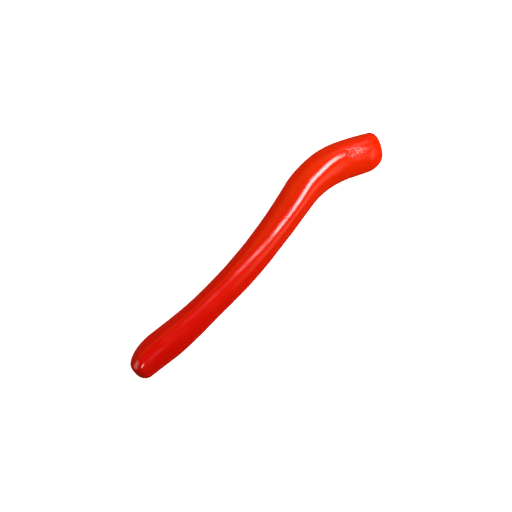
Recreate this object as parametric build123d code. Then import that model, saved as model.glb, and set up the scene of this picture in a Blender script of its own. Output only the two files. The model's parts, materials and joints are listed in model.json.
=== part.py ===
from build123d import *
import math
import os

# A hand-held road flare with a soft S bend. A glossy moulded skin covers a paper tube of
# pressed slugs. Its head is a pull-off cap over the igniter, and the cap's end is a small
# pull-off lid over the striker. It lies on its flatter side, with a blunt ridge on top.
#
# Stations are distances along the centreline from the butt's tip. Reaches are distances
# ahead of the seam between body and cap, along the neck's straight axis. Millimetres, degrees.

# ------------------------------------------------------------------ centreline, seen from above
START = (-135.0, -8.38)         # butt's tip, placed so that the object's box is centred on X and Y
START_HEADING = -3.4            # from +X
BUTT_RUN = 31.25
BODY_RADIUS, BODY_TURN = 472.0, 17.1
MIDDLE_RUN = 23.2
NECK_RADIUS, NECK_TURN = 73.0, -35.8
HEAD_RADIUS, HEAD_TURN = 266.0, -6.7
CORE_REACH = 30.0               # straight neck axis, ahead of the seam
AXIS_Z = 13.3                   # height of the centreline above the surface it lies on

# ------------------------------------------------------------------ outer form, (station, size)
LEFT_WIDTH = (
    (0, 12.95), (32.5, 13.5), (81, 12.4), (122, 12.5), (168, 13.0), (203, 14.5), (233, 15.7), (271, 15.2),
)
RIGHT_WIDTH = (
    (0, 13.8), (32.5, 14.4), (81, 12.35), (122, 12.85), (168, 13.3), (203, 14.5), (233, 15.7), (271, 15.1),
)
RISE = ((0, 12.3), (32, 13.0), (90, 12.4), (168, 12.9), (235, 14.8), (271, 14.0))
DROP = ((0, 13.6), (32, 13.6), (90, 12.3), (168, 12.4), (225, 13.6), (271, 13.6))
THREE_SIDED = ((0, 0.09), (32, 0.09), (120, 0.065), (271, 0.065))
RIDGE_LEAN = (
    (0, 0.12), (60, 0.16), (110, 0.10), (145, -0.08), (188, -0.22), (215, -0.06), (240, 0.18), (271, 0.12),
)

# Rounding of the two ends: (length along the centreline, depth across it)
BUTT_ROUNDING = {"left": (28.0, 12.4), "right": (8.1, 9.8), "top": (12.0, 10.6), "bottom": (9.0, 11.4)}
HEAD_ROUNDING = {"left": (7.3, 11.1), "right": (15.9, 11.8), "top": (11.0, 10.0), "bottom": (9.0, 10.8)}
PASSAGE = 0.5                   # share of the half height over which top and bottom pass into each other
SECTION_POINTS = 16
BODY_STATIONS = 13              # evenly spaced sections between the two rounded ends
END_STATIONS = 7                # closer sections on each rounded end

# ------------------------------------------------------------------ core, inside the skin
GAP = 0.05                      # between pieces that are glued or pressed together
TUBE_START = 15.0
TUBE_OUTER, TUBE_INNER = 9.5, 8.2
LINER_OUTER, LINER_INNER = 8.15, 7.85
SLUG_RADIUS = 7.8
SLUG_COUNT = 10
SLUG_GAP = 0.15
SLUGS_END = 236.0
PLUG_TIP, PLUG_TIP_RADIUS = 6.0, 4.5
PLUG_DOME_END = 14.0
PLUG_SHANK_END = 27.0
WAD_END = 28.5

# ------------------------------------------------------------------ neck and igniter (reaches)
FLANGE_STATION = 230.0
FLANGE_RADIUS = 11.2
SPIGOT_RADIUS = 10.75
SPIGOT_END, LIP_END = 9.6, 10.4
SEAL_REACH = 6.0
GROOVE_RADIUS, GROOVE_WIDTH = 10.05, 1.3
SEAL_CENTRE_RADIUS, SEAL_WIRE_RADIUS = 10.555, 0.475
FIRST_FIRE_END = 4.9
WASHER_START, WASHER_END = 5.05, 6.15
WASHER_HOLE, WASHER_RADIUS = 3.2, 8.1
BUTTON_STEM, BUTTON_BASE, BUTTON_DOME = 3.0, 7.4, 6.5
BUTTON_FLOOR, BUTTON_SHOULDER, BUTTON_TOP = 6.25, 8.0, 12.6

# ------------------------------------------------------------------ cap (reaches)
CAP_START, CAP_END = 0.15, 17.4
CAP_BORE = 12.0
THUMB_PAD_RISE = 14.1           # flat on the ridge, above the centreline
THUMB_PAD = (1.2, 16.2)
SOCKET_START, SOCKET_END = 0.3, 13.9
SOCKET_OUTER, SOCKET_INNER = 11.95, 11.07
CUP_START, CUP_SHOULDER, CUP_FLOOR = 13.95, 14.7, 15.6
BOSS_RADIUS, BOSS_RECESS = 10.3, 9.3
CUSHION_START, CUSHION_RADIUS = 12.9, 10.5
CARD_RADIUS, CARD_END = 9.2, 16.5
STRIKER_RADIUS, STRIKER_END = 9.0, 17.6

# ------------------------------------------------------------------ lid (reaches)
LID_START = 17.5
RIM_START = 14.9
RIM_OUTER, RIM_INNER = 11.9, 10.45
LID_RECESS_RADIUS, LID_RECESS_END = 9.8, 24.0
LID_LINER_RADIUS, LID_LINER_START = 9.6, 22.5

FAR = 600.0                     # longer than the object, for cutting blocks


# ------------------------------------------------------------------ centreline
def bend(radius, turn):
    """Length and turn of one bend; a left turn is positive."""
    return radius * math.radians(abs(turn)), turn


SHARED_RUNS = [
    (BUTT_RUN, 0.0),
    bend(BODY_RADIUS, BODY_TURN),
    (MIDDLE_RUN, 0.0),
    bend(NECK_RADIUS, NECK_TURN),
]
FORM_RUNS = SHARED_RUNS + [bend(HEAD_RADIUS, HEAD_TURN)]
CORE_RUNS = SHARED_RUNS + [(CORE_REACH, 0.0)]
SEAM = sum(length for length, turn in SHARED_RUNS)
FORM_LENGTH = sum(length for length, turn in FORM_RUNS)


def place(station, runs):
    """The centreline's X, Y and heading in radians at a station."""
    x, y = START
    heading = math.radians(START_HEADING)
    left = station
    for length, turn in runs:
        step = min(left, length)
        half_turn = math.radians(turn) * step / length / 2
        chord = step * math.sin(half_turn) / half_turn if half_turn else step
        x += chord * math.cos(heading + half_turn)
        y += chord * math.sin(heading + half_turn)
        heading += 2 * half_turn
        left -= step
    return x, y, heading


def cross_plane(station, runs=CORE_RUNS):
    """Plane across the centreline: local X to the left, local Y up, local Z forward."""
    x, y, heading = place(station, runs)
    left = (-math.sin(heading), math.cos(heading), 0)
    forward = (math.cos(heading), math.sin(heading), 0)
    return Plane(origin=(x, y, AXIS_Z), x_dir=left, z_dir=forward)


def core_path(start, end):
    """Straight runs and tangent arcs along the core, between two stations."""
    edges = []
    run_start = 0.0
    for length, turn in CORE_RUNS:
        first = max(start, run_start)
        last = min(end, run_start + length)
        run_start += length
        if last - first > GAP:
            points = [cross_plane(s).origin for s in (first, (first + last) / 2, last)]
            edges.append(ThreePointArc(*points) if turn else Line(points[0], points[2]))
    return Wire(edges)


# ------------------------------------------------------------------ outer form
def size_at(table, station):
    """A smooth curve through a table's sizes (cubic, with the slope across each neighbour pair)."""
    last = len(table) - 1
    slopes = []
    for i in range(last + 1):
        before, after = table[max(i - 1, 0)], table[min(i + 1, last)]
        slopes.append((after[1] - before[1]) / (after[0] - before[0]))
    i = max(k for k in range(last) if table[k][0] <= station)
    (s0, v0), (s1, v1) = table[i], table[i + 1]
    span = s1 - s0
    t = min((station - s0) / span, 1.0)
    pull0 = slopes[i] * span * t * (1 - t) ** 2
    pull1 = slopes[i + 1] * span * t * t * (t - 1)
    return v0 + (v1 - v0) * t * t * (3 - 2 * t) + pull0 + pull1


def rounding(side, station):
    """How far the form draws in at a station because of its two rounded ends."""
    draw = 0.0
    for ends, distance in ((BUTT_ROUNDING, station), (HEAD_ROUNDING, FORM_LENGTH - station)):
        length, depth = ends[side]
        if distance < length:
            draw += depth * (1 - math.sqrt(1 - ((length - distance) / length) ** 2))
    return draw


def section_points(station):
    """Points round the form at a station, in its cross plane: a rounded triangle, ridge on top."""
    left = size_at(LEFT_WIDTH, station) - rounding("left", station)
    right = size_at(RIGHT_WIDTH, station) - rounding("right", station)
    rise = size_at(RISE, station) - rounding("top", station)
    drop = size_at(DROP, station) - rounding("bottom", station)
    sides = size_at(THREE_SIDED, station)
    lean = size_at(RIDGE_LEAN, station)
    angles = [2 * math.pi * k / SECTION_POINTS for k in range(SECTION_POINTS)]
    radii = [1 - sides * math.sin(3 * a) for a in angles]
    widest = max(r * math.cos(a) for r, a in zip(radii, angles))
    points = []
    for r, a in zip(radii, angles):
        up = r * math.sin(a)
        # the heights above and below the widest line pass smoothly into each other
        t = min(max(up / (2 * PASSAGE) + 0.5, 0.0), 1.0)
        share = t * t * (3 - 2 * t)
        height = up * (share * rise / (1 + sides) + (1 - share) * drop / (1 - sides))
        across = r * math.cos(a) / widest + lean * max(up, 0.0) ** 2
        points.append(((left - right) / 2 + across * (left + right) / 2, height))
    return points


def form_stations():
    """Stations of the form's sections, closer together on the rounded ends."""
    butt, head = BUTT_ROUNDING["left"][0], HEAD_ROUNDING["right"][0]
    stations = [butt * (k / END_STATIONS) ** 2 for k in range(END_STATIONS)]
    straight = FORM_LENGTH - head - butt
    stations += [butt + straight * k / (BODY_STATIONS - 1) for k in range(BODY_STATIONS)]
    stations += [FORM_LENGTH - head * (k / END_STATIONS) ** 2 for k in reversed(range(END_STATIONS))]
    return stations


def outer_form():
    """The whole outside shape, cut flat where it lies on its base."""
    sections = []
    for station in form_stations():
        plane = cross_plane(station, FORM_RUNS)
        points = [plane.from_local_coords((x, y, 0)) for x, y in section_points(station)]
        sections.append(make_face(Spline(*points, periodic=True)))
    return loft(sections) - Pos(0, 0, -FAR / 2) * Box(FAR, FAR, FAR)


# ------------------------------------------------------------------ solids on the core and the neck
def rod(start, end, radius):
    """Round rod along the core between two stations."""
    return sweep(cross_plane(start) * Circle(radius), path=core_path(start, end))


def pipe(start, end, outer, inner):
    """Round pipe along the core between two stations."""
    return rod(start, end, outer) - rod(start - GAP, end + GAP, inner)


def on_neck(shape):
    """Moves a shape made on local Z (the reach) to the neck's axis."""
    return cross_plane(SEAM).location * shape


def turned(*profile):
    """Solid turned about local Z from its half profile of (radius, reach) points."""
    outline = Polyline(*[(radius, 0, reach) for radius, reach in profile], close=True)
    return revolve(make_face(outline), axis=Axis.Z)


def disc(start, end, radius, hole=0.0):
    """Disc or ring between two reaches."""
    return turned((hole, start), (radius, start), (radius, end), (hole, end))


def slice_of(form, start, end):
    """The part of the form between two reaches."""
    block = Pos(0, 0, (start + end) / 2) * Box(FAR, FAR, end - start)
    return form & on_neck(block)


# ------------------------------------------------------------------ body
def plug_shape(extra=0.0):
    """Domed plug in the butt, with a shank inside the tube; extra widens it all round."""
    rim = (TUBE_OUTER + extra, 0, PLUG_DOME_END)
    dome = TangentArc(rim, (PLUG_TIP_RADIUS + extra, 0, PLUG_TIP - extra), tangent=(0, 0, -1))
    side = Polyline(
        rim,
        (TUBE_OUTER + extra, 0, TUBE_START - GAP),
        (LINER_OUTER, 0, TUBE_START - GAP),
        (LINER_OUTER, 0, PLUG_SHANK_END),
        (0, 0, PLUG_SHANK_END),
        (0, 0, PLUG_TIP - extra),
        (PLUG_TIP_RADIUS + extra, 0, PLUG_TIP - extra),
    )
    return cross_plane(0).location * revolve(make_face(dome + side), axis=Axis.Z)


def body_skin(form):
    """Glossy moulded skin, from the butt to the seam, hollow for the tube, plug and ferrule."""
    skin = slice_of(form, -FAR / 2, 0)
    skin -= plug_shape(GAP)
    skin -= rod(TUBE_START - 2 * GAP, SEAM + 1, TUBE_OUTER + GAP)
    skin -= rod(FLANGE_STATION - GAP, SEAM + 1, FLANGE_RADIUS + GAP)
    return skin


def body_tube():
    """Kraft paper tube that holds the charge and carries the ferrule."""
    return pipe(TUBE_START, SEAM + SPIGOT_END - GAP, TUBE_OUTER, TUBE_INNER)


def wax_liner():
    """Thin waxed paper liner between tube and charge."""
    return pipe(PLUG_SHANK_END + GAP, SEAM + FIRST_FIRE_END, LINER_OUTER, LINER_INNER)


def butt_wad():
    """Felt wad between the plug and the first slug."""
    return rod(PLUG_SHANK_END + GAP, WAD_END, SLUG_RADIUS)


def charge_slug(number):
    """One pressed slug of the charge; number counts from 0 at the butt."""
    pitch = (SLUGS_END - WAD_END) / SLUG_COUNT
    start = WAD_END + number * pitch
    return rod(start + SLUG_GAP, start + pitch, SLUG_RADIUS)


def first_fire():
    """Pressed starter slug under the igniter."""
    return rod(SLUGS_END + SLUG_GAP, SEAM + FIRST_FIRE_END, SLUG_RADIUS)


# ------------------------------------------------------------------ neck
def neck_ferrule():
    """Moulded neck: a flange buried in the skin, a spigot with a seal groove, and a lip."""
    flange = pipe(FLANGE_STATION, SEAM, FLANGE_RADIUS, TUBE_OUTER + GAP)
    bore = TUBE_OUTER + GAP
    groove_start = SEAL_REACH - GROOVE_WIDTH / 2
    groove_end = SEAL_REACH + GROOVE_WIDTH / 2
    spigot = turned(
        (bore, 0),
        (SPIGOT_RADIUS, 0),
        (SPIGOT_RADIUS, groove_start),
        (GROOVE_RADIUS, groove_start),
        (GROOVE_RADIUS, groove_end),
        (SPIGOT_RADIUS, groove_end),
        (SPIGOT_RADIUS, LIP_END),
        (TUBE_INNER, LIP_END),
        (TUBE_INNER, SPIGOT_END),
        (bore, SPIGOT_END),
    )
    return flange + on_neck(spigot)


def seal_ring():
    """Rubber ring in the spigot's groove."""
    return on_neck(Pos(0, 0, SEAL_REACH) * Torus(SEAL_CENTRE_RADIUS, SEAL_WIRE_RADIUS))


def igniter_washer():
    """Card washer that holds the ignition button over the starter slug."""
    return on_neck(disc(WASHER_START, WASHER_END, WASHER_RADIUS, WASHER_HOLE))


def ignition_button():
    """Domed button that is struck to light the flare, with a stem through the washer."""
    dome = TangentArc((0, 0, BUTTON_TOP), (BUTTON_DOME, 0, BUTTON_SHOULDER), tangent=(1, 0, 0))
    side = Polyline(
        (0, 0, BUTTON_TOP),
        (0, 0, WASHER_START - GAP),
        (BUTTON_STEM, 0, WASHER_START - GAP),
        (BUTTON_STEM, 0, BUTTON_FLOOR),
        (BUTTON_BASE, 0, BUTTON_FLOOR),
        (BUTTON_BASE, 0, BUTTON_SHOULDER),
        (BUTTON_DOME, 0, BUTTON_SHOULDER),
    )
    return on_neck(revolve(make_face(dome + side), axis=Axis.Z))


# ------------------------------------------------------------------ cap
def cap_shell(form):
    """Outer cap, a continuation of the skin, bored through, with a flat thumb pad on its ridge."""
    shell = slice_of(form, CAP_START, CAP_END)
    shell -= on_neck(disc(-1, CAP_END + 1, CAP_BORE))
    pad_start, pad_end = THUMB_PAD
    pad = Pos(0, THUMB_PAD_RISE + 5, (pad_start + pad_end) / 2) * Box(FAR / 10, 10, pad_end - pad_start)
    return shell - on_neck(pad)


def cap_socket():
    """Stiff sleeve in the cap that slides over the neck and its seal ring."""
    return on_neck(disc(SOCKET_START, SOCKET_END, SOCKET_OUTER, SOCKET_INNER))


def striker_cup():
    """Cup across the cap's bore: a floor against the sleeve, and a boss that holds the striker."""
    return on_neck(
        turned(
            (0, CUP_START),
            (SOCKET_OUTER, CUP_START),
            (SOCKET_OUTER, CUP_SHOULDER),
            (BOSS_RADIUS, CUP_SHOULDER),
            (BOSS_RADIUS, CAP_END),
            (BOSS_RECESS, CAP_END),
            (BOSS_RECESS, CUP_FLOOR),
            (0, CUP_FLOOR),
        )
    )


def cushion_pad():
    """Felt pad under the striker cup, which keeps the button from rattling."""
    return on_neck(disc(CUSHION_START, CUP_START - GAP, CUSHION_RADIUS))


def striker_card():
    """Stiff card behind the striker."""
    return on_neck(disc(CUP_FLOOR + GAP, CARD_END, CARD_RADIUS))


def striker_pad():
    """Abrasive striker that the button is struck on, a little proud of the boss."""
    return on_neck(disc(CARD_END + GAP, STRIKER_END, STRIKER_RADIUS))


# ------------------------------------------------------------------ lid
def lid_shell(form):
    """Rounded end of the head, with a rim that presses into the cap round its boss."""
    shell = slice_of(form, LID_START, FAR / 4)
    shell += on_neck(disc(RIM_START, LID_START + 1, RIM_OUTER, RIM_INNER))
    return shell - on_neck(disc(LID_START - 1, LID_RECESS_END, LID_RECESS_RADIUS))


def lid_liner():
    """Foam disc in the bottom of the lid."""
    return on_neck(disc(LID_LINER_START, LID_RECESS_END - GAP, LID_LINER_RADIUS))


def main():
    form = outer_form()
    parts = {
        "body_skin": body_skin(form),
        "body_tube": body_tube(),
        "wax_liner": wax_liner(),
        "butt_plug": plug_shape(),
        "butt_wad": butt_wad(),
        "first_fire": first_fire(),
        "neck_ferrule": neck_ferrule(),
        "seal_ring": seal_ring(),
        "igniter_washer": igniter_washer(),
        "ignition_button": ignition_button(),
        "cap_shell": cap_shell(form),
        "cap_socket": cap_socket(),
        "striker_cup": striker_cup(),
        "cushion_pad": cushion_pad(),
        "striker_card": striker_card(),
        "striker_pad": striker_pad(),
        "lid_shell": lid_shell(form),
        "lid_liner": lid_liner(),
    }
    for number in range(SLUG_COUNT):
        parts[f"charge_slug_{number + 1:02d}"] = charge_slug(number)
    os.makedirs("parts", exist_ok=True)
    for name, shape in parts.items():
        export_step(shape, f"parts/{name}.step")
    box = form.bounding_box()
    print("box", box.min, box.max, "seam station", round(SEAM, 2))


main()
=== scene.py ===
import json
import math

import bmesh
import bpy
import numpy as np
from mathutils import Matrix, Vector, noise


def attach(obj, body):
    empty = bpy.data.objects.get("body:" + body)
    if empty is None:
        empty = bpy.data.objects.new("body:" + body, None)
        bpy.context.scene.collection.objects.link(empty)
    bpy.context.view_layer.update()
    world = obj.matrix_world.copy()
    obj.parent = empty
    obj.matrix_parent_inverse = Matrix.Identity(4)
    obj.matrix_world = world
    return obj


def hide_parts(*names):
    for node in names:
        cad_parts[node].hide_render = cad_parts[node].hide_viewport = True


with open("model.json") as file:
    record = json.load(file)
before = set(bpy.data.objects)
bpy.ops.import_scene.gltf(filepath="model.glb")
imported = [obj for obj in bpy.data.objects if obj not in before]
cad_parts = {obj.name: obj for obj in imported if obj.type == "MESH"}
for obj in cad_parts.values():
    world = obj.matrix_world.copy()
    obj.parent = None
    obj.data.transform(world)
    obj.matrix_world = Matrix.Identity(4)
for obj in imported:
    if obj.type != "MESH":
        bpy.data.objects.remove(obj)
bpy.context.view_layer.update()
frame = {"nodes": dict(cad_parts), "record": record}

# A glossy red road flare with a soft S bend. The CAD frame holds its sizes and motions; this
# script lays finely shaded surfaces over it, its materials, a pale floor and studio light.
# The outer form below repeats the CAD model's driving dimensions, in millimetres and degrees,
# and every mesh is written in metres.
MM = 0.001

# ------------------------------------------------------------------ the form's driving dimensions
START = (-135.0, -8.38)
START_HEADING = -3.4
BUTT_RUN = 31.25
BODY_RADIUS, BODY_TURN = 472.0, 17.1
MIDDLE_RUN = 23.2
NECK_RADIUS, NECK_TURN = 73.0, -35.8
HEAD_RADIUS, HEAD_TURN = 266.0, -6.7
CORE_REACH = 30.0
AXIS_Z = 13.3
LEFT_WIDTH = (
    (0, 12.95), (32.5, 13.5), (81, 12.4), (122, 12.5), (168, 13.0), (203, 14.5), (233, 15.7), (271, 15.2),
)
RIGHT_WIDTH = (
    (0, 13.8), (32.5, 14.4), (81, 12.35), (122, 12.85), (168, 13.3), (203, 14.5), (233, 15.7), (271, 15.1),
)
RISE = ((0, 12.3), (32, 13.0), (90, 12.4), (168, 12.9), (235, 14.8), (271, 14.0))
DROP = ((0, 13.6), (32, 13.6), (90, 12.3), (168, 12.4), (225, 13.6), (271, 13.6))
THREE_SIDED = ((0, 0.09), (32, 0.09), (120, 0.065), (271, 0.065))
RIDGE_LEAN = (
    (0, 0.12), (60, 0.16), (110, 0.10), (145, -0.08), (188, -0.22), (215, -0.06), (240, 0.18), (271, 0.12),
)
BUTT_ROUNDING = {"left": (28.0, 12.4), "right": (8.1, 9.8), "top": (12.0, 10.6), "bottom": (9.0, 11.4)}
HEAD_ROUNDING = {"left": (7.3, 11.1), "right": (15.9, 11.8), "top": (11.0, 10.0), "bottom": (9.0, 10.8)}
PASSAGE = 0.5
FLAT_SOFTNESS = 0.12            # how softly the form turns into the flat that it lies on

# ------------------------------------------------------------------ pieces (radii and reaches)
GAP = 0.05
TUBE_OUTER, TUBE_INNER = 9.5, 8.2
PLUG_TIP, PLUG_TIP_RADIUS, PLUG_DOME_END = 6.0, 4.5, 14.0
FLANGE_STATION, FLANGE_RADIUS = 230.0, 11.2
SPIGOT_RADIUS, SPIGOT_END, LIP_END = 10.75, 9.6, 10.4
SEAL_REACH, GROOVE_RADIUS, GROOVE_WIDTH = 6.0, 10.05, 1.3
SEAL_CENTRE_RADIUS, SEAL_WIRE_RADIUS = 10.555, 0.475
WASHER_START, WASHER_END, WASHER_HOLE, WASHER_RADIUS = 5.05, 6.15, 3.2, 8.1
BUTTON_BASE, BUTTON_DOME = 7.4, 6.5
BUTTON_FLOOR, BUTTON_SHOULDER, BUTTON_TOP = 6.25, 8.0, 12.6
STEM_RADIUS, STEM_START = 3.0, BUTTON_FLOOR - 1.0
CAP_START, CAP_END, CAP_BORE = 0.15, 17.4, 12.0
THUMB_PAD_RISE, THUMB_PAD = 14.1, (1.2, 16.2)
SOCKET_START, SOCKET_END, SOCKET_OUTER, SOCKET_INNER = 0.3, 13.9, 11.95, 11.07
CUP_START, CUP_SHOULDER, CUP_FLOOR = 13.95, 14.7, 15.6
BOSS_RADIUS, BOSS_RECESS = 10.3, 9.3
CUSHION_START, CUSHION_RADIUS = 12.9, 10.5
CARD_RADIUS, CARD_END = 9.2, 16.5
STRIKER_RADIUS, STRIKER_END = 9.0, 17.6
LID_START, RIM_START, RIM_OUTER, RIM_INNER = 17.5, 14.9, 11.9, 10.45
LID_RECESS_RADIUS, LID_RECESS_END = 9.8, 24.0
LID_LINER_RADIUS, LID_LINER_START = 9.6, 22.5

EDGE = 0.03                     # rounding of the fine seam edges of the skin
SEAM_GAP = 0.05                 # what shows of a seam between two skins
POLE = 0.2                      # radius of a disc's last ring before its pole
BROAD_POLE = 0.3                # the same for the striker cup and the lid's recess


# ------------------------------------------------------------------ centreline
def bend(radius, turn):
    """Length and turn of one bend; a left turn is positive."""
    return radius * math.radians(abs(turn)), turn


SHARED_RUNS = [
    (BUTT_RUN, 0.0),
    bend(BODY_RADIUS, BODY_TURN),
    (MIDDLE_RUN, 0.0),
    bend(NECK_RADIUS, NECK_TURN),
]
FORM_RUNS = SHARED_RUNS + [bend(HEAD_RADIUS, HEAD_TURN)]
CORE_RUNS = SHARED_RUNS + [(CORE_REACH, 0.0)]
SEAM = sum(length for length, turn in SHARED_RUNS)
FORM_LENGTH = sum(length for length, turn in FORM_RUNS)


def place(stations, runs):
    """The centreline's X, Y and heading in radians at each station."""
    left = np.array(stations, float)
    x = np.full_like(left, START[0])
    y = np.full_like(left, START[1])
    heading = np.full_like(left, math.radians(START_HEADING))
    for number, (length, turn) in enumerate(runs):
        step = left if number == len(runs) - 1 else np.minimum(left, length)
        half_turn = math.radians(turn) * step / length / 2
        chord = step * np.sinc(half_turn / math.pi)
        x = x + chord * np.cos(heading + half_turn)
        y = y + chord * np.sin(heading + half_turn)
        heading = heading + 2 * half_turn
        left = left - step
    return x, y, heading


def put(stations, across, height, runs):
    """World points in mm, from offsets to the left of and above the centreline."""
    x, y, heading = place(stations, runs)
    points = (x - np.sin(heading) * across, y + np.cos(heading) * across, AXIS_Z + height)
    return np.stack(np.broadcast_arrays(*points), axis=-1)


SEAM_X, SEAM_Y, NECK_HEADING = (float(v) for v in place(SEAM, CORE_RUNS))
NECK = np.array([math.cos(NECK_HEADING), math.sin(NECK_HEADING), 0.0])


def reach_of(points):
    """Distance ahead of the seam, along the neck's straight axis."""
    return (points - np.array([SEAM_X, SEAM_Y, AXIS_Z])) @ NECK


# ------------------------------------------------------------------ outer form
def size_at(table, stations):
    """A smooth curve through a table's sizes (cubic, with the slope across each neighbour pair)."""
    at, value = np.array(table, float).T
    last = len(at) - 1
    before = np.maximum(np.arange(last + 1) - 1, 0)
    after = np.minimum(np.arange(last + 1) + 1, last)
    slopes = (value[after] - value[before]) / (at[after] - at[before])
    i = np.clip(np.searchsorted(at, stations, side="right") - 1, 0, last - 1)
    span = at[i + 1] - at[i]
    t = np.clip((stations - at[i]) / span, 0, 1)
    pulls = slopes[i] * span * t * (1 - t) ** 2 + slopes[i + 1] * span * t * t * (t - 1)
    return value[i] + (value[i + 1] - value[i]) * t * t * (3 - 2 * t) + pulls


def rounding(side, stations):
    """How far the form draws in because of its two rounded ends."""
    draw = 0.0
    for ends, distance in ((BUTT_ROUNDING, stations), (HEAD_ROUNDING, FORM_LENGTH - stations)):
        length, depth = ends[side]
        inside = np.clip((length - distance) / length, 0, 1)
        draw = draw + depth * (1 - np.sqrt(1 - inside ** 2))
    return draw


WAVES = np.random.default_rng(7).uniform(0, 1, (9, 3))
WAVE_HEIGHT = 0.022             # of each wave in the skin
WAVE_SINK = 3.5                 # wave heights by which the skin is drawn in
SHORTEST_WAVE, WAVE_SPREAD = 24, 70


def unevenness(stations, angles):
    """Slight hand-moulded unevenness of the skin, in mm, most of it inwards."""
    swell = 0.0
    for number, (length_draw, phase, lobe_draw) in enumerate(WAVES):
        wave = SHORTEST_WAVE + WAVE_SPREAD * length_draw
        lobes = 1 + int(3 * lobe_draw)
        swell = swell + np.sin(2 * math.pi * (stations / wave + phase) + lobes * angles + number)
    return WAVE_HEIGHT * (swell - WAVE_SINK)


def form(stations, angles):
    """World points of the outer form, in mm, at stations and angles round the section."""
    stations, angles = np.broadcast_arrays(np.asarray(stations, float), np.asarray(angles, float))
    left = size_at(LEFT_WIDTH, stations) - rounding("left", stations)
    right = size_at(RIGHT_WIDTH, stations) - rounding("right", stations)
    rise = size_at(RISE, stations) - rounding("top", stations)
    drop = size_at(DROP, stations) - rounding("bottom", stations)
    sides = size_at(THREE_SIDED, stations)
    lean = size_at(RIDGE_LEAN, stations)
    fine = np.linspace(0, 2 * math.pi, 721)
    share_of_sides = np.linspace(0, 0.12, 25)
    widest = [np.max((1 - s * np.sin(3 * fine)) * np.cos(fine)) for s in share_of_sides]
    radius = 1 - sides * np.sin(3 * angles)
    up = radius * np.sin(angles)
    t = np.clip(up / (2 * PASSAGE) + 0.5, 0, 1)
    share = t * t * (3 - 2 * t)
    height = up * (share * rise / (1 + sides) + (1 - share) * drop / (1 - sides))
    across = radius * np.cos(angles) / np.interp(sides, share_of_sides, widest)
    across = across + lean * np.maximum(up, 0) ** 2
    across = (left - right) / 2 + across * (left + right) / 2
    size = np.minimum((left + right) / 2, rise)
    swell = 1 + unevenness(stations, angles) * np.clip(size / 8, 0, 1) / 13
    above = AXIS_Z + height * swell
    above = (above + np.sqrt(above ** 2 + FLAT_SOFTNESS ** 2)) / 2
    return put(stations, across * swell, above - AXIS_Z, FORM_RUNS)


def form_at_reach(reach, angles):
    """The form's outline where it meets the plane at a reach, across the neck's axis."""
    stations = np.full_like(angles, SEAM + reach)
    for _ in range(8):
        stations = stations + reach - reach_of(form(stations, angles))
    return stations


def core_ring(station, radius, angles):
    """A circle about the core's centreline."""
    return put(station, radius * np.cos(angles), radius * np.sin(angles), CORE_RUNS)


def drawn_in(ring, station, depth):
    """A ring moved towards the core's centreline by a depth."""
    x, y, _ = place(station, CORE_RUNS)
    centre = np.array([float(x), float(y), AXIS_Z])
    away = ring - centre
    return ring - away * (depth / np.linalg.norm(away, axis=-1, keepdims=True))


# ------------------------------------------------------------------ meshes
def turns(count):
    """Evenly spaced angles round a section."""
    return np.arange(count) * 2 * math.pi / count


def eased(first, last, count):
    """Values from first to last, closer together at first."""
    return first + (last - first) * np.linspace(0, 1, count) ** 2.0


SHARP = 50                      # degrees between faces from which an edge is shaded sharp


def shell(name, rings, body, nodes, slot, closed_loop=False):
    """A closed smooth mesh over rings of points in mm; open stacks end in a pole at each end."""
    count = len(rings[0])
    points = np.concatenate(rings)
    faces = []
    pairs = [(k, k + 1) for k in range(len(rings) - 1)]
    if closed_loop:
        pairs.append((len(rings) - 1, 0))
    for a, b in pairs:
        for i in range(count):
            j = (i + 1) % count
            faces.append((a * count + i, a * count + j, b * count + j, b * count + i))
    if not closed_loop:
        for ring in (0, len(rings) - 1):
            pole = len(points)
            points = np.vstack([points, points[ring * count:(ring + 1) * count].mean(axis=0)])
            faces += [(pole, ring * count + i, ring * count + (i + 1) % count) for i in range(count)]
    mesh = bpy.data.meshes.new(name)
    mesh.from_pydata((points * MM).tolist(), [], faces)
    mesh.validate()
    build = bmesh.new()
    build.from_mesh(mesh)
    bmesh.ops.recalc_face_normals(build, faces=build.faces)
    build.to_mesh(mesh)
    build.free()
    mesh.shade_smooth()
    mesh.set_sharp_from_angle(angle=math.radians(SHARP))
    piece = bpy.data.objects.new(name, mesh)
    bpy.context.scene.collection.objects.link(piece)
    mesh.materials.append(MATERIALS[slot])
    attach(piece, body)
    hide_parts(*nodes)
    return piece


CORNER_STEPS = 4                # points round each softened corner


def softened(profile, size, loop):
    """A half profile of (radius, reach) with its corners rounded off."""
    points = [np.array(p, float) for p in profile]
    count = len(points)
    out = []
    for i, p in enumerate(points):
        if not loop and i in (0, count - 1):
            out.append(p)
            continue
        before, after = points[i - 1] - p, points[(i + 1) % count] - p
        cut = min(size, 0.45 * np.linalg.norm(before), 0.45 * np.linalg.norm(after))
        a = p + before / np.linalg.norm(before) * cut
        b = p + after / np.linalg.norm(after) * cut
        for t in np.linspace(0, 1, CORNER_STEPS):
            out.append((1 - t) ** 2 * a + 2 * t * (1 - t) * p + t * t * b)
    return out


def divided(profile, step, loop):
    """A half profile with extra points, so that none are further apart than a step."""
    ends = profile[1:] + (profile[:1] if loop else [])
    out = []
    for a, b in zip(profile, ends):
        parts = max(1, int(np.ceil(np.linalg.norm(b - a) / step)))
        out += [a + (b - a) * k / parts for k in range(parts)]
    return out if loop else out + [profile[-1]]


def box_profile(inner, outer, start, end):
    """Half profile of a disc or a sleeve, from an inner to an outer radius and between two reaches."""
    return [(inner, start), (outer, start), (outer, end), (inner, end)]


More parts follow.
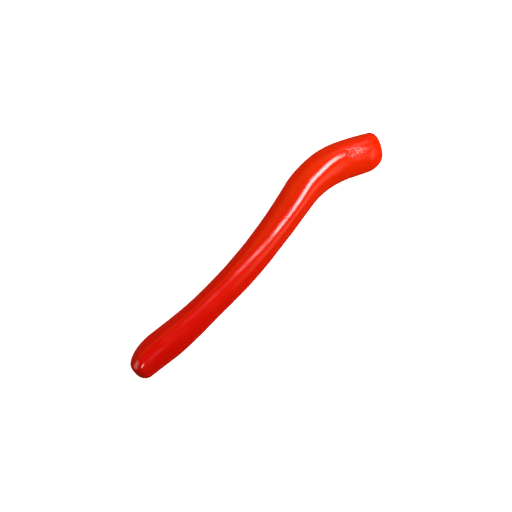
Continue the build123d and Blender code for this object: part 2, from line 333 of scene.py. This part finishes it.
def turned(name, profile, body, node, slot, loop=False, edge=0.15, step=0.8, count=128, rough=None):
    """A piece turned about the neck's axis, with rounded edges and, if asked, a rough surface."""
    outline = divided(softened(profile, edge, loop), step, loop)
    rings = [core_ring(SEAM + reach, radius, turns(count)) for radius, reach in outline]
    piece = shell(name, rings, body, [node], slot, loop)
    if rough:
        roughen(piece, *rough)
    return piece


def roughen(piece, height, grain, seed):
    """Moves each point along its normal by fractal noise; height and grain in mm."""
    mesh = piece.data
    shift = Vector((seed * 3.1, seed * 1.7, seed * 5.3))
    normals = [v.normal.copy() for v in mesh.vertices]
    for vertex, normal in zip(mesh.vertices, normals):
        where = vertex.co / (grain * MM) + shift
        vertex.co += normal * height * MM * (noise.noise(where) + 0.5 * noise.noise(where * 2.3))


# ------------------------------------------------------------------ material nodes
def new_material(name):
    """A material with an empty node tree but for its shader and output."""
    material = bpy.data.materials.new(name)
    material.use_nodes = True
    tree = material.node_tree
    tree.nodes.clear()
    shader = tree.nodes.new("ShaderNodeBsdfPrincipled")
    output = tree.nodes.new("ShaderNodeOutputMaterial")
    tree.links.new(shader.outputs["BSDF"], output.inputs["Surface"])
    return material, tree, shader


def object_space(tree, stretch=(1, 1, 1)):
    """Object coordinates in metres, stretched."""
    place_node = tree.nodes.new("ShaderNodeTexCoord")
    mapping = tree.nodes.new("ShaderNodeMapping")
    mapping.inputs["Scale"].default_value = stretch
    tree.links.new(place_node.outputs["Object"], mapping.inputs["Vector"])
    return mapping.outputs["Vector"]


def noise_value(tree, size, detail=4.0, rough=0.55, stretch=(1, 1, 1), distortion=0.0):
    """Noise from 0 to 1, with features of about a size in mm."""
    node = tree.nodes.new("ShaderNodeTexNoise")
    node.inputs["Scale"].default_value = 1000.0 / size
    node.inputs["Detail"].default_value = detail
    node.inputs["Roughness"].default_value = rough
    node.inputs["Distortion"].default_value = distortion
    tree.links.new(object_space(tree, stretch), node.inputs["Vector"])
    return node.outputs["Fac"]


def cells(tree, size, feature="F1"):
    """Distance in a pattern of cells of about a size in mm."""
    node = tree.nodes.new("ShaderNodeTexVoronoi")
    node.feature = feature
    node.inputs["Scale"].default_value = 1000.0 / size
    tree.links.new(object_space(tree), node.inputs["Vector"])
    return node.outputs["Distance"]


def ramp(tree, value, stops):
    """Colours along a value: stops of (position, colour)."""
    node = tree.nodes.new("ShaderNodeValToRGB")
    elements = node.color_ramp.elements
    while len(elements) < len(stops):
        elements.new(0.5)
    for element, (position, colour) in zip(elements, stops):
        element.position = position
        element.color = (*colour, 1.0)
    tree.links.new(value, node.inputs["Fac"])
    return node.outputs["Color"]


def remap(tree, value, low, high, start=0.3, end=0.7):
    """Value from start..end to low..high."""
    node = tree.nodes.new("ShaderNodeMapRange")
    node.inputs["From Min"].default_value = start
    node.inputs["From Max"].default_value = end
    node.inputs["To Min"].default_value = low
    node.inputs["To Max"].default_value = high
    tree.links.new(value, node.inputs["Value"])
    return node.outputs["Result"]


def math_node(tree, operation, a, b):
    """Arithmetic on two values, each a socket or a number."""
    node = tree.nodes.new("ShaderNodeMath")
    node.operation = operation
    for socket, value in zip(node.inputs, (a, b)):
        if isinstance(value, (int, float)):
            socket.default_value = value
        else:
            tree.links.new(value, socket)
    return node.outputs["Value"]


def blend(tree, a, weight_a, b, weight_b):
    """Weighted sum of two values."""
    parts = (math_node(tree, "MULTIPLY", a, weight_a), math_node(tree, "MULTIPLY", b, weight_b))
    return math_node(tree, "ADD", *parts)


def share_along(tree, start, end):
    """0 to 1 along X, from a start to an end in mm."""
    split = tree.nodes.new("ShaderNodeSeparateXYZ")
    tree.links.new(object_space(tree), split.inputs["Vector"])
    return remap(tree, split.outputs["X"], 0.0, 1.0, start * MM, end * MM)


def share_near(tree, centre, inner, outer):
    """1 within an inner distance of a point and 0 past an outer one, in mm."""
    node = tree.nodes.new("ShaderNodeVectorMath")
    node.operation = "DISTANCE"
    node.inputs[1].default_value = [v * MM for v in centre]
    tree.links.new(object_space(tree), node.inputs[0])
    return remap(tree, node.outputs["Value"], 1.0, 0.0, inner * MM, outer * MM)


def bump(tree, shader, height, depth):
    """Surface relief with a depth in mm."""
    node = tree.nodes.new("ShaderNodeBump")
    node.inputs["Strength"].default_value = 1.0
    node.inputs["Distance"].default_value = depth * MM
    tree.links.new(height, node.inputs["Height"])
    tree.links.new(node.outputs["Normal"], shader.inputs["Normal"])


# painted light on the skin along X: painted shade, a deeper red, towards the butt and painted light, a
# brighter, more orange red, towards the head; and the thumb pad's duller, speckled patch
PAINTED_SHADE_END, PAINTED_LIGHT_END = -70.0, 75.0
DULL_CENTRE_REACH, DULL_CENTRE_LEFT = 11.5, 0.3
DULL_CENTRE = put(SEAM + DULL_CENTRE_REACH, DULL_CENTRE_LEFT, THUMB_PAD_RISE, CORE_RUNS)
DULL_REACH, DULL_FADE = 4.5, 8.5
DULLNESS = 0.30


def vinyl(name, deep_red_and_painted_shade, bright_red_and_painted_light, roughness):
    """Glossy moulded vinyl: a random tone with painted shade to the butt and painted light to the head,
    handling marks, orange peel and a dull pad.
    """
    material, tree, shader = new_material(name)
    # base colour: a random tone mixed with painted light along X, a deeper red (painted shade) at the butt
    # end and a brighter, more orange red (painted light) at the head end
    tone = blend(tree, noise_value(tree, 34.0, 3.0), 0.4, share_along(tree, PAINTED_SHADE_END, PAINTED_LIGHT_END), 0.6)
    tree.links.new(ramp(tree, tone, [(0.15, deep_red_and_painted_shade), (0.85, bright_red_and_painted_light)]), shader.inputs["Base Color"])
    haze = noise_value(tree, 11.0, 5.0, 0.6, (1.0, 1.6, 1.6), 0.4)
    scuffs = noise_value(tree, 0.5, 3.0, 0.7, (0.12, 1.0, 1.0))
    gloss = remap(tree, haze, roughness - 0.02, roughness + 0.05)
    marks = remap(tree, scuffs, 0.0, 0.05, 0.60, 0.72)
    worn = math_node(tree, "ADD", gloss, marks)
    speckle = remap(tree, noise_value(tree, 1.2, 2.0), 0.0, DULLNESS, 0.40, 0.62)
    dull = math_node(tree, "MULTIPLY", share_near(tree, DULL_CENTRE, DULL_REACH, DULL_FADE), speckle)
    tree.links.new(math_node(tree, "ADD", worn, dull), shader.inputs["Roughness"])
    peel = noise_value(tree, 1.6, 2.0)
    swell = noise_value(tree, 9.0, 1.0)
    relief = math_node(tree, "ADD", math_node(tree, "MULTIPLY", swell, 2.0), peel)
    bump(tree, shader, relief, 0.005)
    shader.inputs["IOR"].default_value = 1.50
    shader.inputs["Subsurface Weight"].default_value = 0.06
    shader.inputs["Subsurface Radius"].default_value = (1.0, 0.12, 0.05)
    shader.inputs["Subsurface Scale"].default_value = 0.0015
    return material


def moulded(name, dark, light, roughness):
    """Plain moulded plastic with a fine grain and slight colour drift."""
    material, tree, shader = new_material(name)
    tone = ramp(tree, noise_value(tree, 9.0, 4.0), [(0.3, dark), (0.7, light)])
    tree.links.new(tone, shader.inputs["Base Color"])
    wear = noise_value(tree, 4.0, 5.0, 0.65)
    tree.links.new(remap(tree, wear, roughness - 0.06, roughness + 0.10), shader.inputs["Roughness"])
    bump(tree, shader, noise_value(tree, 0.7, 3.0), 0.02)
    return material


def granular(name, colours, grain, depth, roughness=0.92):
    """Pressed powder or grit: specks of a few colours, and pits and grains in relief."""
    material, tree, shader = new_material(name)
    specks = cells(tree, grain * 1.3)
    mottle = noise_value(tree, grain * 4, 6.0, 0.7)
    mixed = blend(tree, specks, 0.55, mottle, 0.6)
    stops = [(0.25 + 0.5 * k / (len(colours) - 1), colour) for k, colour in enumerate(colours)]
    tree.links.new(ramp(tree, mixed, stops), shader.inputs["Base Color"])
    matt = remap(tree, mottle, roughness - 0.1, min(roughness + 0.06, 1.0))
    tree.links.new(matt, shader.inputs["Roughness"])
    bump(tree, shader, math_node(tree, "SUBTRACT", noise_value(tree, grain, 5.0, 0.7), specks), depth)
    return material


def fibrous(name, dark, light, size, depth):
    """Felt or card: tangled fibres in colour and relief."""
    material, tree, shader = new_material(name)
    fibres = noise_value(tree, size, 8.0, 0.75, distortion=1.5)
    blotches = noise_value(tree, size * 12, 3.0)
    mixed = blend(tree, fibres, 0.7, blotches, 0.3)
    tree.links.new(ramp(tree, mixed, [(0.3, dark), (0.7, light)]), shader.inputs["Base Color"])
    tree.links.new(remap(tree, fibres, 0.87, 0.95), shader.inputs["Roughness"])
    bump(tree, shader, fibres, depth)
    shader.inputs["Sheen Weight"].default_value = 0.15
    shader.inputs["Sheen Roughness"].default_value = 0.6
    return material


def rubber(name):
    """Black seal rubber with a faint bloom."""
    material, tree, shader = new_material(name)
    bloom = noise_value(tree, 1.8, 5.0, 0.7)
    tone = ramp(tree, bloom, [(0.35, (0.012, 0.012, 0.012)), (0.8, (0.05, 0.05, 0.048))])
    tree.links.new(tone, shader.inputs["Base Color"])
    tree.links.new(remap(tree, bloom, 0.32, 0.5), shader.inputs["Roughness"])
    bump(tree, shader, noise_value(tree, 0.25, 2.0), 0.01)
    return material


def foam(name):
    """Closed-cell foam: pale, with small round cells in relief."""
    material, tree, shader = new_material(name)
    bubbles = cells(tree, 0.55, "SMOOTH_F1")
    tone = ramp(tree, bubbles, [(0.1, (0.62, 0.61, 0.58)), (0.6, (0.84, 0.83, 0.80))])
    tree.links.new(tone, shader.inputs["Base Color"])
    tree.links.new(remap(tree, bubbles, 0.7, 0.9), shader.inputs["Roughness"])
    bump(tree, shader, bubbles, 0.12)
    shader.inputs["Subsurface Weight"].default_value = 0.1
    shader.inputs["Subsurface Scale"].default_value = 0.001
    return material


def wood(name):
    """Turned plug wood: growth rings and pores along the grain."""
    material, tree, shader = new_material(name)
    rings = tree.nodes.new("ShaderNodeTexWave")
    rings.wave_type = "RINGS"
    rings.inputs["Scale"].default_value = 180.0
    rings.inputs["Distortion"].default_value = 2.5
    rings.inputs["Detail"].default_value = 3.0
    tree.links.new(object_space(tree, (0.15, 1, 1)), rings.inputs["Vector"])
    tone = ramp(tree, rings.outputs["Fac"], [(0.2, (0.36, 0.22, 0.11)), (0.8, (0.62, 0.44, 0.26))])
    tree.links.new(tone, shader.inputs["Base Color"])
    pores = noise_value(tree, 0.6, 4.0, 0.6, (0.1, 1, 1))
    tree.links.new(remap(tree, pores, 0.55, 0.75), shader.inputs["Roughness"])
    bump(tree, shader, pores, 0.05)
    return material


def paper_tube(name, dark, light, width, roughness):
    """Spiral-wound paper: fibres, and a fine step at each turn of the winding."""
    material, tree, shader = new_material(name)
    bands = tree.nodes.new("ShaderNodeTexWave")
    bands.wave_profile = "SAW"
    bands.inputs["Scale"].default_value = 1000.0 / width / 2
    bands.inputs["Distortion"].default_value = 0.3
    tree.links.new(object_space(tree, (1.0, 0.35, 0.35)), bands.inputs["Vector"])
    fibres = noise_value(tree, 0.7, 8.0, 0.75, (0.4, 1, 1), 1.2)
    tree.links.new(ramp(tree, fibres, [(0.3, dark), (0.7, light)]), shader.inputs["Base Color"])
    tree.links.new(remap(tree, fibres, roughness - 0.1, roughness), shader.inputs["Roughness"])
    relief = math_node(tree, "ADD", bands.outputs["Fac"], math_node(tree, "MULTIPLY", fibres, 0.5))
    bump(tree, shader, relief, 0.06)
    return material


CHARGE_SPECKS = [(0.42, 0.30, 0.29), (0.56, 0.45, 0.42), (0.70, 0.62, 0.58)]
STARTER_SPECKS = [(0.18, 0.15, 0.14), (0.32, 0.27, 0.25), (0.46, 0.42, 0.40)]
BUTTON_SPECKS = [(0.035, 0.028, 0.026), (0.09, 0.07, 0.065), (0.22, 0.18, 0.16)]
STRIKER_SPECKS = [(0.08, 0.022, 0.018), (0.20, 0.06, 0.045), (0.34, 0.14, 0.10)]

MATERIALS = {
    # the skin's two reds: the deeper one is also painted shade towards the butt, the more orange one
    # painted light towards the head
    "skin_red": vinyl("skin_red", (0.70, 0.0015, 0.0), (0.76, 0.0170, 0.0), 0.17),
    "neck_red": moulded("neck_red", (0.42, 0.010, 0.004), (0.56, 0.018, 0.006), 0.34),
    "kraft_tube": paper_tube("kraft_tube", (0.34, 0.21, 0.11), (0.58, 0.41, 0.25), 22.0, 0.9),
    "wax_paper": paper_tube("wax_paper", (0.66, 0.61, 0.48), (0.84, 0.80, 0.68), 18.0, 0.4),
    "plug_wood": wood("plug_wood"),
    "felt": fibrous("felt", (0.44, 0.42, 0.38), (0.74, 0.72, 0.67), 0.35, 0.25),
    "charge": granular("charge", CHARGE_SPECKS, 0.30, 0.06),
    "starter": granular("starter", STARTER_SPECKS, 0.25, 0.06),
    "button": granular("button", BUTTON_SPECKS, 0.22, 0.07, 0.85),
    "card": fibrous("card", (0.30, 0.23, 0.16), (0.52, 0.43, 0.32), 0.25, 0.04),
    "insert_plastic": moulded("insert_plastic", (0.045, 0.045, 0.05), (0.09, 0.09, 0.095), 0.42),
    "seal_rubber": rubber("seal_rubber"),
    "striker": granular("striker", STRIKER_SPECKS, 0.28, 0.10, 0.88),
    "liner_foam": foam("liner_foam"),
}


# ------------------------------------------------------------------ the skin
SKIN_COUNT = 160                # points round the body's and the lid's skins
CROWN = 0.08                    # rise of each end's small flat
BUTT_END, BUTT_RINGS = 28.0, 46         # where the closer rings of the butt end, and how many
LONG_RINGS, BORE_RINGS, LID_RINGS = 190, 90, 60
CAP_RING_STEP = 0.17            # between the cap's rings, to resolve the pebbles
SEAM_CHAMFER = 0.2              # where the flange's seat opens at the seam
BORE_CHAMFER = 0.15             # of the cap's bore


def end_cap(ring, outward):
    """Rings that close a small flat end, with a slight crown."""
    centre = ring.mean(axis=0)
    return [centre + (ring - centre) * k + outward * CROWN * (1 - k * k) for k in (0.85, 0.6, 0.35, 0.12)]


def rim_rounding(inward):
    """Pairs of (distance from the rim, depth drawn in) round a seam edge."""
    angles = np.radians([0, 22, 45, 68, 90])
    pairs = [(EDGE * (1 - math.sin(a)), EDGE * (1 - math.cos(a))) for a in angles]
    return pairs if inward else pairs[::-1]


def seam_rings(reach, side, angles, inward):
    """Rounded rings at a seam: side is 1 ahead of it and -1 behind, inward if they end there."""
    rings = []
    for distance, depth in rim_rounding(inward):
        at = reach + side * distance
        ring = form(form_at_reach(at, angles), angles)
        rings.append(drawn_in(ring, SEAM + at, depth))
    return rings


def build_body_skin():
    """Skin of the body: rounded butt, long S, fine front edge, and the hollow for the core."""
    angles = turns(SKIN_COUNT)
    stations = np.concatenate([
        eased(0.0, BUTT_END, BUTT_RINGS),
        np.linspace(BUTT_END, SEAM - 1.0, LONG_RINGS)[1:],
    ])
    outer = [form(s, angles) for s in stations]
    heading = math.radians(START_HEADING)
    backward = -np.array([math.cos(heading), math.sin(heading), 0])
    rings = end_cap(outer[0], backward)[::-1] + outer
    rings += seam_rings(0.0, -1, angles, True)
    # the flange's seat, the tube's bore and the plug's dome, from the seam backwards
    wide, narrow, shoulder = FLANGE_RADIUS + GAP, TUBE_OUTER + GAP, FLANGE_STATION - GAP
    rings.append(core_ring(SEAM, wide + SEAM_CHAMFER, angles))
    rings.append(core_ring(SEAM - SEAM_CHAMFER, wide, angles))
    rings += [core_ring(s, wide, angles) for s in np.linspace(SEAM - 1.5, shoulder, 8)]
    rings += [core_ring(s, narrow, angles) for s in np.linspace(shoulder, PLUG_DOME_END, BORE_RINGS)]
    dome_depth = PLUG_DOME_END - PLUG_TIP + GAP
    for t in np.linspace(0.15, 1.0, 7):
        turn = t * math.pi / 2
        radius = PLUG_TIP_RADIUS + (narrow - PLUG_TIP_RADIUS) * math.cos(turn)
        rings.append(core_ring(PLUG_DOME_END - dome_depth * math.sin(turn), radius, angles))
    shell("skin_of_body", rings, "flare_body", ["body_skin"], "skin_red")


PAD_MIDDLE, PAD_HALF = math.radians(84), math.radians(30)
PAD_COUNT, REST_COUNT = 190, 150        # points across the pad and round the rest of the cap


def pad_angles():
    """Angles round the cap, much closer together across the thumb pad on the ridge."""
    first, last = PAD_MIDDLE - PAD_HALF, PAD_MIDDLE + PAD_HALF
    dense = np.linspace(first, last, PAD_COUNT, endpoint=False)
    rest = np.linspace(last, first + 2 * math.pi, REST_COUNT, endpoint=False)
    return np.concatenate([dense, rest])


def smooth_step(value, low, high):
    """0 below low, 1 above high, smooth between."""
    t = np.clip((value - low) / (high - low), 0, 1)
    return t * t * (3 - 2 * t)


PAD_EASE_IN, PAD_EASE_OUT = 5.0, 4.0    # lengths over which the pad starts and ends
PAD_SOFTNESS = 0.10             # how softly the ridge turns into the pad
PEBBLE_PITCH = 1.6
PEBBLE_ROWS = PEBBLE_PITCH * 0.866      # between the rows of a staggered grid
PEBBLE_RADIUS = 0.70
PEBBLE_HEIGHT = 0.15
PEBBLE_LEVEL = (-0.25, 0.05)    # of the ridge over the pad's flat, where pebbles start and are full


def thumb_pad(ring):
    """Flattens the ridge into the pad and raises its pebbles, on one ring of points."""
    reach = reach_of(ring)
    left = np.array([-NECK[1], NECK[0]])
    across = (ring[:, :2] - np.array([SEAM_X, SEAM_Y])) @ left
    start, end = THUMB_PAD
    within = smooth_step(reach, start, start + PAD_EASE_IN) * smooth_step(-reach, -end, -end + PAD_EASE_OUT)
    ceiling = AXIS_Z + THUMB_PAD_RISE
    over = ring[:, 2] - ceiling
    flattened = ceiling + (over - np.sqrt(over ** 2 + PAD_SOFTNESS ** 2)) / 2
    out = ring.copy()
    out[:, 2] = ring[:, 2] + (flattened - ring[:, 2]) * within
    # pebbles stand on a staggered grid where the surface is nearly level, each of its own height
    row = np.round(reach / PEBBLE_ROWS)
    shift = np.where(row % 2 == 0, 0.0, PEBBLE_PITCH / 2)
    column = np.round((across - shift) / PEBBLE_PITCH)
    off_row = reach - row * PEBBLE_ROWS
    off_column = across - shift - column * PEBBLE_PITCH
    scatter = np.modf(np.abs(np.sin(row * 12.9 + column * 78.2) * 43758.5))[0]
    height = PEBBLE_HEIGHT * (0.3 + 1.4 * scatter)
    dome = np.sqrt(np.clip(1 - (off_row ** 2 + off_column ** 2) / PEBBLE_RADIUS ** 2, 0, 1))
    level = smooth_step(over, *PEBBLE_LEVEL) * within
    out[:, 2] += height * dome * level * (ring[:, 2] > AXIS_Z)
    return out


def build_cap_skin():
    """Skin of the cap: a continuation of the body's form, with the pebbled thumb pad."""
    angles = pad_angles()
    back = seam_rings(SEAM_GAP, 1, angles, False)
    front = seam_rings(CAP_END, -1, angles, True)
    reaches = np.arange(SEAM_GAP + EDGE + 0.15, CAP_END - EDGE - 0.1, CAP_RING_STEP)
    outer = [thumb_pad(form(form_at_reach(r, angles), angles)) for r in reaches]
    rings = back + outer + front
    rings.append(core_ring(SEAM + CAP_END, CAP_BORE + BORE_CHAMFER, angles))
    bore = np.linspace(CAP_END - BORE_CHAMFER, CAP_START + BORE_CHAMFER, 10)
    rings += [core_ring(SEAM + r, CAP_BORE, angles) for r in bore]
    rings.append(core_ring(SEAM + CAP_START, CAP_BORE + BORE_CHAMFER, angles))
    shell("skin_of_cap", rings, "cap", ["cap_shell"], "skin_red", True)


def build_lid_skin():
    """Skin of the lid: the head's rounded end, with the rim that presses into the cap."""
    angles = turns(SKIN_COUNT)
    first = form_at_reach(CAP_END + SEAM_GAP + EDGE + 0.2, angles)
    shares = 1 - (1 - np.linspace(0, 1, LID_RINGS)) ** 2
    outer = [form(first + (FORM_LENGTH - first) * share, angles) for share in shares]
    end_heading = math.radians(START_HEADING + BODY_TURN + NECK_TURN + HEAD_TURN)
    forward = np.array([math.cos(end_heading), math.sin(end_heading), 0])
    profile = [
        (BROAD_POLE, LID_RECESS_END),
        (LID_RECESS_RADIUS, LID_RECESS_END),
        (LID_RECESS_RADIUS, LID_START),
        (RIM_INNER, LID_START + 0.01),
        (RIM_INNER, RIM_START),
        (RIM_OUTER, RIM_START),
        (RIM_OUTER, LID_START),
    ]
    inside = divided(softened(profile, 0.2, False), 0.8, False)
    rings = [core_ring(SEAM + reach, radius, angles) for radius, reach in inside]
    rings += seam_rings(CAP_END + SEAM_GAP, 1, angles, False)
    rings += outer + end_cap(outer[-1], forward)
    shell("skin_of_lid", rings, "lid", ["lid_shell"], "skin_red")


# ------------------------------------------------------------------ neck and igniter
def build_neck():
    """Ferrule, seal ring, washer and button."""
    bore = TUBE_OUTER + GAP
    groove_start, groove_end = SEAL_REACH - GROOVE_WIDTH / 2, SEAL_REACH + GROOVE_WIDTH / 2
    ferrule = [
        (bore, FLANGE_STATION - SEAM),
        (FLANGE_RADIUS, FLANGE_STATION - SEAM),
        (FLANGE_RADIUS, 0),
        (SPIGOT_RADIUS, 0),
        (SPIGOT_RADIUS, groove_start),
        (GROOVE_RADIUS, groove_start),
        (GROOVE_RADIUS, groove_end),
        (SPIGOT_RADIUS, groove_end),
        (SPIGOT_RADIUS, LIP_END),
        (TUBE_INNER, LIP_END),
        (TUBE_INNER, SPIGOT_END),
        (bore, SPIGOT_END),
    ]
    turned("ferrule_moulding", ferrule, "flare_body", "neck_ferrule", "neck_red", loop=True)
    seal = []
    for a in turns(28):
        radius = SEAL_CENTRE_RADIUS + SEAL_WIRE_RADIUS * math.cos(a)
        seal.append(core_ring(SEAM + SEAL_REACH + SEAL_WIRE_RADIUS * math.sin(a), radius, turns(180)))
    shell("seal_of_neck", seal, "seal", ["seal_ring"], "seal_rubber", True)
    washer = box_profile(WASHER_HOLE, WASHER_RADIUS, WASHER_START, WASHER_END)
    turned("washer_card", washer, "flare_body", "igniter_washer", "card",
           loop=True, edge=0.1, step=0.35, count=160, rough=(0.03, 0.5, 2))
    button = [
        (POLE, STEM_START),
        (STEM_RADIUS, STEM_START),
        (STEM_RADIUS, BUTTON_FLOOR),
        (BUTTON_BASE, BUTTON_FLOOR),
        (BUTTON_BASE, BUTTON_SHOULDER),
    ]
    for a in np.linspace(0, math.pi / 2, 14)[:-1]:
        rise = (BUTTON_TOP - BUTTON_SHOULDER) * math.sin(a)
        button.append((BUTTON_DOME * math.cos(a), BUTTON_SHOULDER + rise))
    button.append((POLE, BUTTON_TOP))
    turned("button_of_igniter", button, "flare_body", "ignition_button", "button",
           edge=0.25, step=0.18, count=220, rough=(0.09, 0.55, 3))


# ------------------------------------------------------------------ inside the cap and the lid
def build_cap_inside():
    """Socket sleeve, striker cup, felt pad, card and striker."""
    socket = box_profile(SOCKET_INNER, SOCKET_OUTER, SOCKET_START, SOCKET_END)
    turned("socket_sleeve", socket, "cap", "cap_socket", "insert_plastic", loop=True)
    cup = [
        (BROAD_POLE, CUP_START),
        (SOCKET_OUTER, CUP_START),
        (SOCKET_OUTER, CUP_SHOULDER),
        (BOSS_RADIUS, CUP_SHOULDER),
        (BOSS_RADIUS, CAP_END),
        (BOSS_RECESS, CAP_END),
        (BOSS_RECESS, CUP_FLOOR),
        (BROAD_POLE, CUP_FLOOR),
    ]
    turned("cup_of_striker", cup, "cap", "striker_cup", "insert_plastic")
    felt = box_profile(POLE, CUSHION_RADIUS, CUSHION_START, CUP_START - GAP)
    pad = turned("felt_pad", felt, "cap", "cushion_pad", "felt",
                 edge=0.3, step=0.25, count=200, rough=(0.10, 0.45, 5))
    card = box_profile(POLE, CARD_RADIUS, CUP_FLOOR + GAP, CARD_END)
    turned("card_of_striker", card, "cap", "striker_card", "card",
           edge=0.1, step=0.5, rough=(0.02, 0.5, 6))
    grit = box_profile(POLE, STRIKER_RADIUS, CARD_END + GAP, STRIKER_END)
    turned("grit_of_striker", grit, "cap", "striker_pad", "striker",
           edge=0.2, step=0.16, count=300, rough=(0.07, 0.40, 7))


def build_lid_inside():
    """Foam disc in the lid."""
    profile = box_profile(POLE, LID_LINER_RADIUS, LID_LINER_START, LID_RECESS_END - GAP)
    disc = turned("foam_disc", profile, "lid", "lid_liner", "liner_foam",
                  edge=0.35, step=0.3, count=180, rough=(0.05, 0.6, 8))


def dress_core():
    """Materials for the CAD solids, of which the ones sealed inside the skin stay in view."""
    slots = {entry["node"]: entry["material_slot"] for entry in frame["record"]["subparts"]}
    for name, node in frame["nodes"].items():
        for socket in node.material_slots:
            socket.material = MATERIALS[slots[name]]


# ------------------------------------------------------------------ studio
VIEW_WIDTH = 0.4096             # of the scene across the picture, at the height of the centreline
CAMERA_HEIGHT = 1.5
CAMERA_ROLL = 41.6              # puts +X towards the picture's upper right
AIM = (-0.00070, -0.00623)
FLOOR_HALF = 6.0
FLOOR_DROP = 0.0002             # keeps the floor just clear of the flat that the flare lies on

# name, place, point it faces, size, power in W, colour, and whether it is only for reflections
LIGHTS = [
    ("key", (0.36, -0.10, 0.50), (0.05, 0, 0), (0.3, 0.3), 2.9, (1, 1, 1), False),
    ("fill", (0.30, -0.50, 0.30), (0, 0, 0), (0.4, 0.4), 2.3, (1, 1, 1), False),
    ("back", (0.35, 0.40, 0.30), (0, 0, 0), (0.4, 0.4), 2.3, (1, 1, 1), False),
    ("low", (-0.45, 0.12, 0.20), (-0.13, 0, 0), (0.2, 0.2), 0.6, (1, 1, 1), False),
    ("table", (0.14, 0.02, -0.30), (0.14, 0.02, 0), (1.0, 1.0), 6.0, (1, 0.6, 0.4), False),
    ("strip", (0.075, 0.045, 0.45), (0.075, 0.045, 0), (0.12, 0.21), 1.8, (1, 0.9, 0.93), True),
    ("glint", (-0.43, -0.44, 0.60), (-0.126, -0.012, 0.02), (0.30, 0.06), 1.8, (1, 0.92, 1), True),
    ("end", (-0.62, 0.22, 0.13), (-0.13, 0, 0), (0.5, 0.5), 1.7, (1, 0.8, 0.8), True),
    ("left", (-0.10, 0.9, 0.35), (0, 0, 0), (0.9, 0.6), 0.5, (1, 0.9, 0.15), True),
    ("right", (0.14, -0.45, 0.30), (0.10, 0, 0), (0.26, 0.4), 0.26, (1, 0.95, 0.5), True),
]


def build_camera():
    """Long lens straight above, rolled so that the flare lies across the picture."""
    data = bpy.data.cameras.new("camera")
    camera = bpy.data.objects.new("camera", data)
    bpy.context.scene.collection.objects.link(camera)
    camera.location = (*AIM, CAMERA_HEIGHT)
    camera.rotation_euler = (0, 0, -math.radians(CAMERA_ROLL))
    data.lens = data.sensor_width * (CAMERA_HEIGHT - AXIS_Z * MM) / VIEW_WIDTH
    data.clip_start = 0.01
    bpy.context.scene.camera = camera


def area_light(name, where, aim, size, power, colour, glints):
    """A soft box, seen only in reflections if glints is true and otherwise only lighting colours."""
    data = bpy.data.lights.new(name, "AREA")
    data.shape = "RECTANGLE"
    data.size, data.size_y = size
    data.energy = power
    data.color = colour
    light = bpy.data.objects.new(name, data)
    bpy.context.scene.collection.objects.link(light)
    back = (Vector(where) - Vector(aim)).normalized()
    across = back.cross(Vector((1, 0, 0))).normalized()
    along = across.cross(back)
    light.matrix_world = Matrix.Translation(where) @ Matrix((along, across, back)).transposed().to_4x4()
    light.visible_camera = False
    light.visible_glossy = glints
    light.visible_diffuse = not glints


def build_light():
    """The table of soft boxes, in a faint warm surround."""
    for light in LIGHTS:
        area_light(*light)
    world = bpy.data.worlds.new("surround")
    bpy.context.scene.world = world
    world.use_nodes = True
    background = world.node_tree.nodes["Background"]
    background.inputs["Color"].default_value = (1, 0.85, 0.3, 1)
    background.inputs["Strength"].default_value = 0.05


def build_floor():
    """Plain pale light table under the flare, kept out of its reflections."""
    mesh = bpy.data.meshes.new("floor")
    build = bmesh.new()
    bmesh.ops.create_grid(build, x_segments=2, y_segments=2, size=FLOOR_HALF)
    build.to_mesh(mesh)
    build.free()
    floor = bpy.data.objects.new("floor", mesh)
    bpy.context.scene.collection.objects.link(floor)
    floor.location = (0, 0, -FLOOR_DROP)
    material, tree, shader = new_material("floor")
    tone = ramp(tree, noise_value(tree, 60.0, 4.0), [(0.3, (0.90, 0.90, 0.90)), (0.7, (0.92, 0.92, 0.92))])
    tree.links.new(tone, shader.inputs["Base Color"])
    shader.inputs["Roughness"].default_value = 0.9
    shader.inputs["Emission Color"].default_value = (1, 1, 1, 1)
    shader.inputs["Emission Strength"].default_value = 0.88
    mesh.materials.append(material)
    floor.visible_glossy = False
    floor.visible_diffuse = False
    floor.visible_shadow = False


build_camera()
build_body_skin()
build_cap_skin()
build_lid_skin()
build_neck()
build_cap_inside()
build_lid_inside()
dress_core()
build_light()
build_floor()
bpy.context.scene.view_settings.view_transform = "Standard"
bpy.context.scene.view_settings.look = "None"
